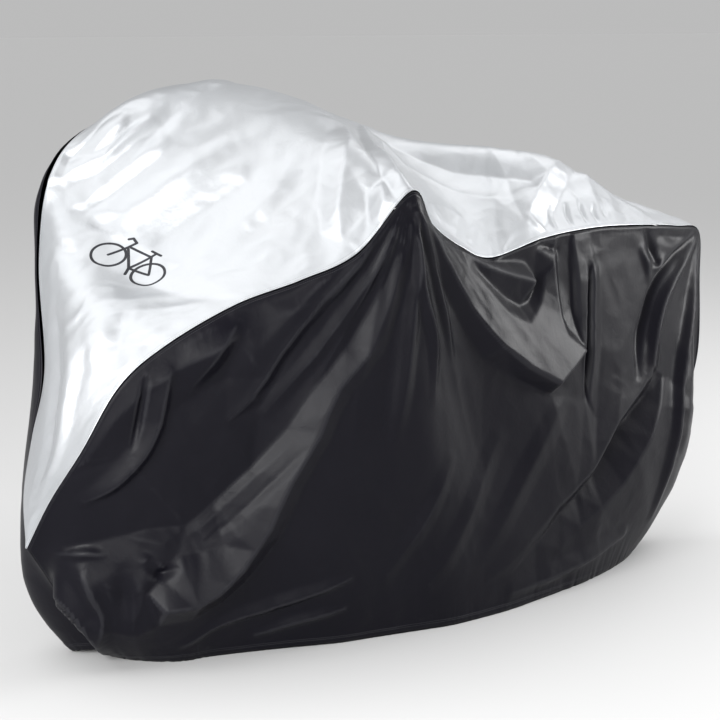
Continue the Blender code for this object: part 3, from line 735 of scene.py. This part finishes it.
def side_chart(at, drop, side):
    """Places on a side panel: how far back and how high, how far along the seam, and
    how far above the hem or, from 10 mm higher, below the seam, whichever is less."""
    points = side_surface(at, drop, side)
    fine = np.linspace(0, LAST, LENGTH_STEPS)
    steps = np.linalg.norm(np.diff(column(side, fine), axis=0), axis=1)
    run = np.interp(at, fine, np.append(0, np.cumsum(steps)))
    height = column(side, at)[:, 2]
    return points[:, 0], points[:, 2], run, np.minimum(drop * height + .010, (1 - drop) * height)


def side_height(at, drop, side, creases_, folds, fan):
    """Height of a panel's folds and crumples, of the rays of small pleats that spread
    down from fan, of the puckers and lap by the seam, and of the gathered hem."""
    x, z = side_chart(at, drop, side)[:2]
    seam_height = column(side, at)[:, 2]
    below_seam = drop * seam_height
    above_hem = (1 - drop) * seam_height
    ends = fade(np.minimum(at, LAST - at) / END_FADE)
    crumple = (PANEL_CRUMPLE[0] * creases(x * 6 + z * 2, z * 5, 21)
               + PANEL_CRUMPLE[1] * creases(x * 15, z * 13, 22))
    patch = sum(share * np.exp(-((x - at_x) / wide) ** 2 - ((z - at_z) / high) ** 2)
                for share, at_x, at_z, wide, high in CRUMPLED)
    crumple *= .5 + 1.2 * fade(.5 + noise(x * 3, z * 3, 23)) + patch
    angle = np.arctan2(x - fan[0], fan[1] - z)
    away = np.hypot(x - fan[0], fan[1] - z)
    rays = (RAY * creases(angle * 5.5, away * 1.6, 24)
            * fade(away / RAY_START) * fade((RAY_END - away) / RAY_LAST))
    pucker = PUCKER * creases(at * 22, drop * 6, 25) * np.exp(-below_seam / PANEL_PUCKER_REACH)
    drawn = np.maximum(fade((x - CORD_FROM[1]) / CORD_GROWS), fade((CORD_FROM[0] - x) / CORD_GROWS))
    gathers = ((.3 + .7 * drawn) * GATHER * creases(at * 5, z * 9, 26, .1)
               * np.exp(-above_hem / GATHER_REACH))
    casing = HEM_PROUD * (fade((above_hem - HEM_WIDTH) / .003) - 1)
    lap = LAP_PROUD * (fade((below_seam - LAP_WIDTH) / .002) - 1)
    ring = np.linspace(0, LAST, BORDER_POINTS)
    border = [(*point[::2], 0) for edge in (0, 1)
              for point in side_surface(ring, np.full(BORDER_POINTS, edge), side)]
    facets = facet_height(x, z, creases_, border) if creases_ else 0
    inner = fade(below_seam / SEAM_FADE) * (fold_height(x, z, folds) + crumple + rays) + facets
    return ends * (inner * fade(above_hem / .03 + .25) + fade(below_seam / PUCKER_START) * pucker
                   + gathers - casing - lap)


EDGE_SPACING = 1.2  # how much further apart a panel's rows are at its seam and hem
EDGE_RATE = 14  # and how fast that dies out, for each length of the panel


def side_panel(name, side, columns, rows, creases_, folds, fan):
    """A black panel, with its grid turned so that its faces point away from the bicycle,
    and its rows about twice as far apart at the seam and the hem as on the folds."""
    fine = np.linspace(0, 1, LENGTH_STEPS)
    seam_end = EDGE_SPACING * np.exp(-fine * EDGE_RATE)
    rate = 1 + seam_end + seam_end[::-1]
    spaced = np.append(0, np.cumsum(1 / rate[1:]))
    drops = SEAM_DROP + (1 - SEAM_DROP) * np.interp(
        np.linspace(0, spaced[-1], rows + 1), spaced, fine)
    if side == "near":
        drops = drops[::-1]

    height = partial(side_height, side=side, creases_=creases_, folds=folds, fan=fan)
    return sheet_of_cloth(name, partial(side_surface, side=side), height,
                          partial(side_chart, side=side), -SEAM_GAP, even_sections(columns), drops)


NEAR_FAN = (-.205, 1.02)  # where the rays of pleats meet, at the low grip
BLACK = Look(
    dark=(.0030, .0028, .0050, 1), light=(.0050, .0047, .0075, 1),
    worn=(.026, .026, .030, 1), worn_share=.4, rub=(.2, 1.4),
    thread=(.030, .030, .034, 1), rows=(.0140, .0185),
    metallic=.0, specular=.11, rough=(.34, .42), rubbed_rough=.06,
    clouds=4.0, crinkles=55.0, twist=1.0, depth=.0018)

near = side_panel("black_near_panel", "near", NEAR_COLUMNS, NEAR_ROWS, NEAR_CREASES, NEAR_FOLDS,
                  NEAR_FAN)
near.data.materials.append(coated_cloth("black_cloth", BLACK))
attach(near, "root")
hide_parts("near_panel")

# ------------------------------
# Far panel. Cut and sewn like the near one, with its own folds: it hangs from the high
# end of the handlebar, and swells round the front wheel below the strip's point.
FAR_COLUMNS = 400
FAR_ROWS = 160
FAR_FAN = (-.28, 1.20)  # where its rays of pleats meet, at the high grip
FAR_FOLDS = [Fold(*row) for row in (
    ("bar drop", .09, ((-270, 1150, 4, 20, 18), (-310, 900, 16, 40, 26), (-380, 650, 22, 70, 30),
     (-500, 380, 16, 90, 36), (-600, 200, 4, 60, 30))),
    ("bar valley", .14, ((-250, 1100, -3, 20), (-260, 850, -10, 30, 28), (-280, 600, -12, 36, 34),
     (-300, 420, -3, 30))),
    ("bar drop two", .09, ((-240, 1120, 4, 16, 18), (-190, 880, 14, 26, 36),
     (-140, 640, 14, 30, 40), (-110, 420, 3, 28, 34))),
    ("swag", .08, ((-200, 1100, 5, 14, 30), (-90, 930, 18, 18, 60), (60, 740, 24, 26, 90),
     (210, 590, 18, 34, 90), (360, 480, 5, 34, 60))),
    ("swag hollow", .20, ((-60, 760, -4, 36, 40), (80, 560, -12, 46, 50), (220, 420, -3, 40))),
    ("front drop", .12, ((-700, 1000, 4, 26, 30), (-715, 780, 13, 36), (-740, 560, 13, 40, 36),
     (-780, 360, 4, 32, 30))),
    ("front crease", .10, ((-600, 980, -3, 22), (-620, 740, -10, 28, 26), (-660, 500, -9, 30, 28),
     (-720, 330, -2, 24))),
    ("saddle drop", .10, ((430, 850, 4, 22, 24), (410, 680, 13, 34, 30), (370, 500, 12, 40, 34),
     (320, 340, 3, 34, 30))),
    ("saddle pleat", .10, ((300, 850, -4, 14), (290, 720, -12, 18, 16), (270, 580, -3, 14))),
    ("corner rib", .10, ((880, 790, 4, 16, 14), (780, 670, 14, 30, 24), (680, 540, 16, 40, 28),
     (590, 390, 12, 44, 30), (520, 260, 3, 34, 26))),
    ("corner crease", .12, ((870, 740, -3, 16), (770, 560, -10, 24, 22), (690, 400, -10, 28, 26),
     (630, 260, -3, 24, 22))),
    ("hem sweep", .12, ((-420, 200, 3, 34, 20), (-250, 130, 9, 44, 22), (-50, 110, 10, 48, 22),
     (250, 160, 3, 36, 20))),
    ("low streak", .14, ((300, 380, 2, 30), (160, 260, 7, 36, 32), (20, 180, 2, 30, 28))),
    ("toe swell", .20, ((-870, 230, 3, 40), (-840, 160, 8, 44), (-800, 90, 3, 36))),
)]

far = side_panel("black_far_panel", "far", FAR_COLUMNS, FAR_ROWS, [], FAR_FOLDS, FAR_FAN)
far.data.materials.append(near.data.materials[0])
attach(far, "root")
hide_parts("far_panel")

# ------------------------------
# Studio. A plain pale floor, a pale surround and large soft lights, with the camera a
# little above the saddle's height in front of the cover's near side.
FLOOR_SIZE = 240.0
CAMERA_AT = (-2.3263, -3.4254, 1.3494)
CAMERA_LOOKS_AT = (-.0208, -.0074, .548)
LENS = 90.69  # millimetres, on a sensor SENSOR wide
SENSOR = 36
SHIFT = (-.0585, .0146)

Light = namedtuple("Light", "name place aim width height watts")
LIGHTS = [Light(*row) for row in (
    ("left", (-3.84, -2.38, 1.85), (-.4, -.2, .5), 2.3, 1.8, 245),
    ("right", (4.0, -1.6, 1.6), (.2, 0, .6), 1.5, 1.5, 150),
    ("low", (-1.75, -3.4, .55), (-.5, -.1, .35), 1.2, .8, 28),
    ("back", (3.25, .5, 4.35), (.4, 0, .9), 3.0, 3.0, 65),
)]
WORLD_LIGHT = .50
SKY_LIGHT = 1.3  # watts a square metre, from a disc above the front wheel
SKY_TURN = (-.222, -.399, 0)
SKY_ANGLE = pi * .30  # width of the disc
FLOOR_COLOUR = (.575, .575, .575, 1)  # as bright as the surround where they meet


def face(thing, place, target):
    """Puts a lamp or a camera at a place, facing the target."""
    thing.location = place
    thing.rotation_euler = (Vector(target) - Vector(place)).to_track_quat("-Z", "Y").to_euler()


floor_mesh = bpy.data.meshes.new("floor")
half = FLOOR_SIZE / 2
floor_mesh.from_pydata([(-half, -half, 0), (half, -half, 0), (half, half, 0), (-half, half, 0)],
                       [], [(0, 1, 2, 3)])
floor = new_object("floor", floor_mesh)
floor_nodes = Nodes("pale_floor")
floor_nodes.set(Base_Color=FLOOR_COLOUR, Roughness=.8, Specular_IOR_Level=.2)
floor_mesh.materials.append(floor_nodes.material)

for light in LIGHTS:
    lamp = bpy.data.lights.new(light.name, "AREA")
    lamp.shape = "RECTANGLE"
    lamp.size = light.width
    lamp.size_y = light.height
    lamp.energy = light.watts
    face(new_object(light.name, lamp), light.place, light.aim)

sky = bpy.data.lights.new("sky", "SUN")
sky.energy = SKY_LIGHT
sky.angle = SKY_ANGLE
new_object("sky", sky).rotation_euler = SKY_TURN

world = bpy.data.worlds.new("surround")
world.use_nodes = True
surround = world.node_tree.nodes["Background"].inputs
surround["Color"].default_value = (1, 1, 1, 1)
surround["Strength"].default_value = WORLD_LIGHT
bpy.context.scene.world = world
bpy.context.scene.view_settings.view_transform = "Standard"

lens = bpy.data.cameras.new("camera")
lens.lens = LENS
lens.sensor_width = SENSOR
lens.shift_x, lens.shift_y = SHIFT
camera = new_object("camera", lens)
face(camera, CAMERA_AT, CAMERA_LOOKS_AT)
bpy.context.scene.camera = camera
